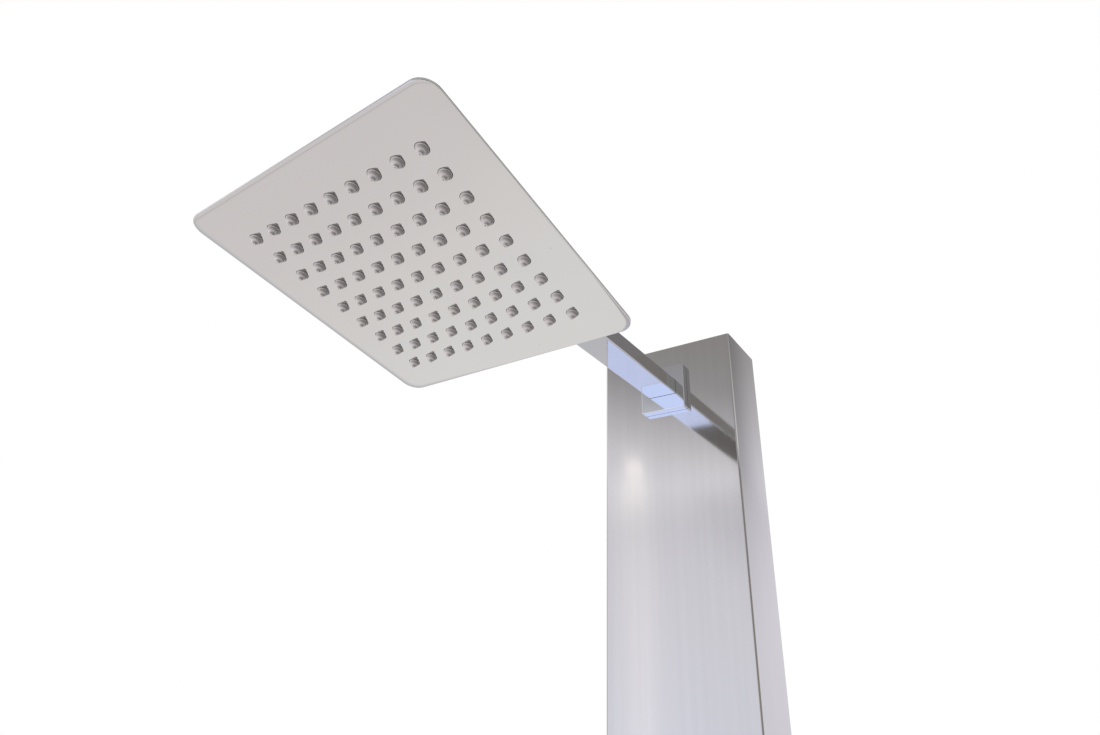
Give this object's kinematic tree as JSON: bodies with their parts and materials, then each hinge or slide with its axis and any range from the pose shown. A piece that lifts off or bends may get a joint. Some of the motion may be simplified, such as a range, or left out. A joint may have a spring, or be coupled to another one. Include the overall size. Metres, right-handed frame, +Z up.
{
  "type": "rainfall shower column",
  "caption": "Wall-hung box column in mirror-polished stainless steel with a flat square rain head on a straight arm and a single-lever mixer.",
  "frame": {"origin": "centre of the upper wall bracket's back face, on the wall", "axes": "+Y into the wall, +Z up the column, +X to the right seen from the front"},
  "size_m": [0.2, 0.526, 1.3],
  "materials": {
    "polished_steel": "mirror-polished stainless steel",
    "plain_steel": "satin mill finish",
    "chrome": "polished chrome plate",
    "brass": "machined",
    "braided_hose": "stainless wire braid over a rubber tube",
    "silicone": "matt grey silicone",
    "rubber": "matt",
    "ceramic": "lapped alumina ceramic",
    "white_plastic": "moulded",
    "blue_plastic": "moulded"
  },
  "bodies": {
    "column": {"column_shell": "polished_steel", "top_cap": "polished_steel", "bottom_cap": "polished_steel", "upper_crossbar": "plain_steel", "lower_crossbar": "plain_steel", "upper_wall_bracket": "plain_steel", "lower_wall_bracket": "plain_steel", "shower_arm": "polished_steel", "arm_flange": "polished_steel", "arm_gasket": "rubber", "arm_backing_plate": "plain_steel", "arm_lock_washer": "plain_steel", "arm_locknut": "brass", "riser_elbow": "brass", "elbow_seal": "rubber", "riser_hose": "braided_hose", "hose_nut_upper": "brass", "hose_washer_upper": "rubber", "hose_ferrule_upper": "plain_steel", "hose_nut_lower": "brass", "hose_washer_lower": "rubber", "hose_ferrule_lower": "plain_steel", "mixer_body": "brass", "mixer_ring_nut": "brass", "mixer_gasket": "rubber", "mixer_escutcheon": "polished_steel", "mixer_dome": "chrome", "cartridge_seal": "rubber", "cartridge_base": "white_plastic", "cartridge_housing": "blue_plastic", "fixed_ceramic_disc": "ceramic", "cartridge_retainer": "brass", "hot_check_valve": "white_plastic", "hot_strainer": "plain_steel", "cold_check_valve": "white_plastic", "cold_strainer": "plain_steel", "swivel_ball": "chrome", "swivel_washer": "rubber", "flow_regulator": "white_plastic"},
    "liner_ring": {"ball_liner": "white_plastic"},
    "seal_ring": {"ball_seal": "rubber"},
    "rain_head": {"ball_collar": "chrome", "head_hub": "chrome", "head_top_plate": "polished_steel", "nozzle_mat": "silicone", "head_face_plate": "polished_steel"},
    "cartridge_turret": {"cartridge_carrier": "white_plastic", "spindle_pin": "plain_steel"},
    "lever": {"lever_handle": "chrome", "mixer_spindle": "brass", "lever_set_screw": "plain_steel", "lever_screw_plug": "white_plastic"},
    "disc_slider": {"moving_ceramic_disc": "ceramic", "disc_holder": "white_plastic"}
  },
  "joints": [
    {"name": "head_tilt", "type": "hinge", "parent": "column", "child": "liner_ring", "pos_m": [0, -0.424, -0.016], "axis": [1, 0, 0], "range_deg": [-4.6, 25.4]},
    {"name": "head_side_tilt", "type": "hinge", "parent": "liner_ring", "child": "seal_ring", "pos_m": [0, -0.424, -0.016], "axis": [0, 0.9836, -0.1805], "range_deg": [-15, 15]},
    {"name": "head_spin", "type": "hinge", "parent": "seal_ring", "child": "rain_head", "pos_m": [0, -0.424, -0.016], "axis": [0, 0.1805, 0.9836], "continuous": true},
    {"name": "mixer_turn", "type": "hinge", "parent": "column", "child": "cartridge_turret", "pos_m": [0, -0.078, -1.03], "axis": [0, -1, 0], "range_deg": [-50, 50]},
    {"name": "lever_lift", "type": "hinge", "parent": "cartridge_turret", "child": "lever", "pos_m": [0, -0.078, -1.03], "axis": [-1, 0, 0], "range_deg": [0, 24]},
    {"name": "disc_slide", "type": "slide", "parent": "cartridge_turret", "child": "disc_slider", "axis": [0, 0, 1], "range_m": [-0.0034, 0]}
  ],
  "couplings": [
    {"joint": "disc_slide", "follows": "lever_lift", "m_per_rad": -0.0076}
  ]
}
